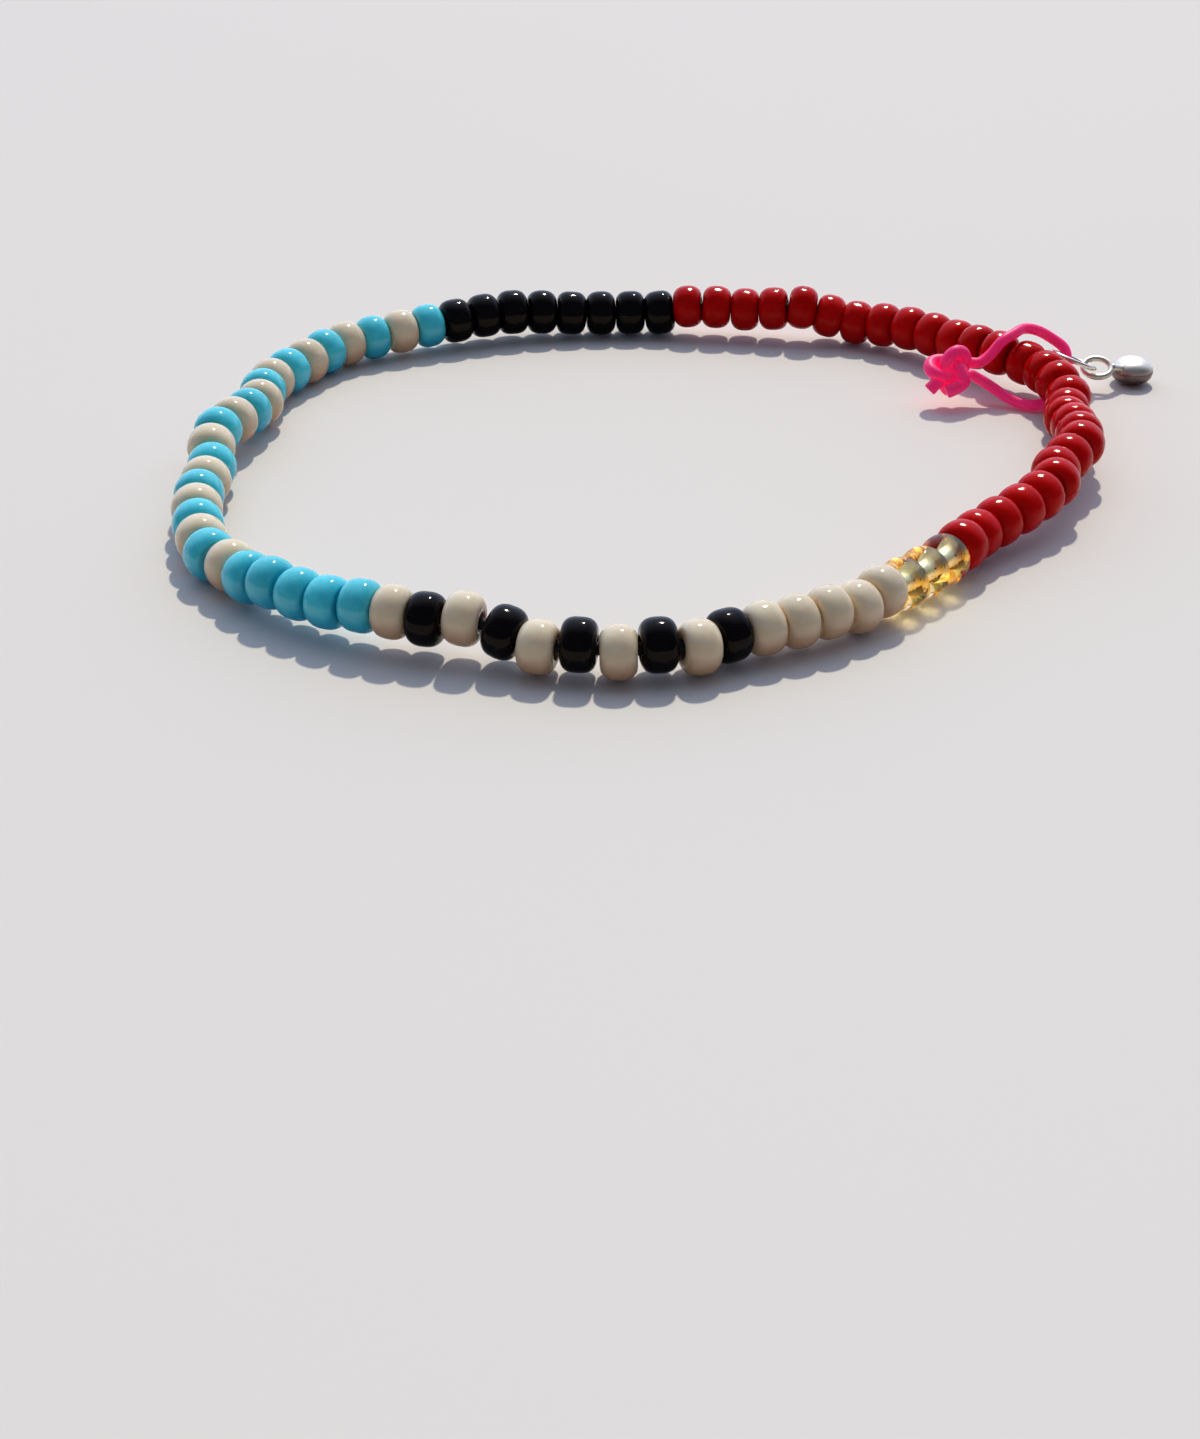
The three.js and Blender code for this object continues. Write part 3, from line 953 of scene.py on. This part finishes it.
def make_tie():
    """The pink elastic: from its first cut end through the knot, round the string and the ring, and back."""
    core = [knot_point(*place) for place in CORE_END]
    route = [Vector(p) for p in TIE_ROUTE]
    wound = knot_turns() + [knot_point(*place) for place in WOUND_END]
    way = [placed(p) for p in smooth_way(core + route + wound, TIE_STEPS)]
    taut = range(len(core) * TIE_STEPS, (len(core) + len(route)) * TIE_STEPS)
    material = elastic("elastic_pink", (1.0, 0.035, 0.24), (0.95, 0.02, 0.18), 0.4, 1.0, glow=0.18)
    reach = []
    for i in range(len(way)):
        into_knot = max(taut.start - i, i - taut.stop, 0) / TIE_STEPS
        reach.append(TIE_RADIUS * MM * (1 + (KNOT_SWELLING - 1) * min(into_knot, 1)))
    reach[0] = reach[-1] = TIE_RADIUS * MM
    tie = tube("tie", way, reach, TIE_SIDES, material, closed=False)
    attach(tie, ROOT)
    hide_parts("tie_loop")


def make_ring(metal):
    """The jump ring, with the fine cut where it was opened."""
    first, second = (Vector(axis).normalized() for axis in RING_AXES)
    way = []
    for i in range(RING_STEPS + 1):
        angle = RING_CUT_AT + RING_CUT / RING_RADIUS / 2
        angle += (2 * math.pi - RING_CUT / RING_RADIUS) * i / RING_STEPS
        spoke = first * math.cos(angle) + second * math.sin(angle)
        way.append(placed(Vector(RING_MIDDLE) + spoke * RING_RADIUS))
    ring = tube("ring", way, RING_WIRE * MM, RING_SIDES, metal, closed=False)
    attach(ring, ROOT)
    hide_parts("jump_ring")


def make_charm(metal):
    """The puffed charm: two pressed shells joined along a seam, with a neck and an eye."""
    profile = []
    for i in range(CHARM_STEPS + 1):
        angle = -math.pi / 2 + math.pi * i / CHARM_STEPS
        out = CHARM_RADIUS * abs(math.cos(angle)) ** (2 / CHARM_FULLNESS)
        up = math.copysign(CHARM_HALF_HEIGHT * abs(math.sin(angle)) ** (2 / CHARM_FULLNESS), angle)
        seam = CHARM_SEAM * math.exp(-((up / CHARM_SEAM_HEIGHT) ** 2))
        profile.append((up, out + seam if 0 < i < CHARM_STEPS else 0))
    vertices, faces = [], []
    count = len(profile)
    for i in range(CHARM_SIDES):
        angle = 2 * math.pi * i / CHARM_SIDES
        for up, out in profile[1:-1]:
            side = Vector((out * math.cos(angle), out * math.sin(angle), up))
            vertices.append(placed(Vector(CHARM_MIDDLE) + side))
    inner = count - 2
    for i in range(CHARM_SIDES):
        for j in range(inner - 1):
            a, b = i * inner + j, i * inner + j + 1
            c, d = ((i + 1) % CHARM_SIDES) * inner + j + 1, ((i + 1) % CHARM_SIDES) * inner + j
            faces.append((a, d, c, b))
    foot, top = len(vertices), len(vertices) + 1
    vertices.append(placed(Vector(CHARM_MIDDLE) - Vector((0, 0, CHARM_HALF_HEIGHT))))
    vertices.append(placed(Vector(CHARM_MIDDLE) + Vector((0, 0, CHARM_HALF_HEIGHT))))
    for i in range(CHARM_SIDES):
        after = (i + 1) % CHARM_SIDES
        faces.append((foot, after * inner, i * inner))
        faces.append((top, i * inner + inner - 1, after * inner + inner - 1))
    body = mesh_object("charm_body", vertices, faces, metal)
    start, end = Vector(EYE_MIDDLE) + Vector((EYE_RADIUS * EYE_STRETCH, 0, 0)), Vector(CHARM_MIDDLE)
    shares = [i / NECK_STEPS for i in range(NECK_STEPS + 1)]
    thin, thick = NECK_RADIUS
    neck_way = [placed(start.lerp(end, share)) for share in shares]
    reach = [MM * (thin + (thick - thin) * share**2) for share in shares]
    neck = tube("charm_neck", neck_way, reach, NECK_SIDES, metal, closed=False)
    eye_way = []
    for i in range(RING_STEPS):
        angle = 2 * math.pi * i / RING_STEPS
        back = Vector((0, math.cos(math.radians(EYE_LEAN)), math.sin(math.radians(EYE_LEAN))))
        spoke = Vector((EYE_STRETCH, 0, 0)) * math.cos(angle) + back * math.sin(angle)
        eye_way.append(placed(Vector(EYE_MIDDLE) + spoke * EYE_RADIUS))
    eye = tube("charm_eye", eye_way, EYE_WIRE * MM, RING_SIDES, metal, closed=True)
    for piece in (body, neck, eye):
        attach(piece, ROOT)
        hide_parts("charm")


def make_floor():
    reach = FLOOR_REACH
    corners = [(-reach, -reach, 0), (reach, -reach, 0), (reach, reach, 0), (-reach, reach, 0)]
    floor = mesh_object("floor", corners, [(0, 1, 2, 3)], floor_material(), smooth=False)


def make_camera():
    data = bpy.data.cameras.new("camera")
    data.sensor_fit = "HORIZONTAL"
    data.sensor_width = CAMERA_SENSOR
    data.lens = CAMERA_LENS
    data.clip_start = 0.005
    camera = bpy.data.objects.new("camera", data)
    bpy.context.scene.collection.objects.link(camera)
    camera.location = placed(CAMERA_PLACE)
    camera.rotation_euler = (math.radians(90 - CAMERA_PITCH), 0, 0)
    bpy.context.scene.camera = camera


def make_sun(name, strength, angle):
    lamp = bpy.data.lights.new(name, "SUN")
    lamp.energy = strength
    lamp.angle = math.radians(angle)
    lamp.color = SUN_COLOUR
    sun = bpy.data.objects.new(name, lamp)
    bpy.context.scene.collection.objects.link(sun)
    sun.rotation_euler = Vector(SUN_DIRECTION).to_track_quat("Z", "Y").to_euler()
    return sun


def make_light(red_beads):
    make_sun("key", SUN_STRENGTH, SUN_ANGLE)
    glint = make_sun("glint", GLINT_STRENGTH, GLINT_ANGLE)
    glint.visible_diffuse = glint.visible_transmission = glint.visible_volume_scatter = False
    glinting = bpy.data.collections.new("glinting")
    for bead in red_beads:
        glinting.objects.link(bead)
    glint.light_linking.receiver_collection = glinting
    world = bpy.data.worlds.new("fill")
    world.use_nodes = True
    nodes, links = world.node_tree.nodes, world.node_tree.links
    split = nodes.new("ShaderNodeSeparateXYZ")
    links.new(nodes.new("ShaderNodeTexCoord").outputs["Generated"], split.inputs[0])
    height = maths(nodes, links, "MULTIPLY", split.outputs["Z"], WINDOW_TILT)
    backness = maths(nodes, links, "ADD", split.outputs["Y"], height)
    colour = mixed(
        nodes, links, smooth_share(nodes, links, backness, *WINDOW_EDGE), ROOM_COLOUR, WINDOW_COLOUR
    )
    links.new(colour, nodes["Background"].inputs["Color"])
    bpy.context.scene.world = world
    bpy.context.scene.view_settings.view_transform = "Standard"


make_camera()
red_beads = make_beads()
make_thread()
make_tie()
make_ring(silver("silver_ring", 0.25, RING_SHADE_TOP * MM))
make_charm(silver("silver_charm", 0.38, CHARM_SHADE_TOP * MM))
make_floor()
make_light(red_beads)
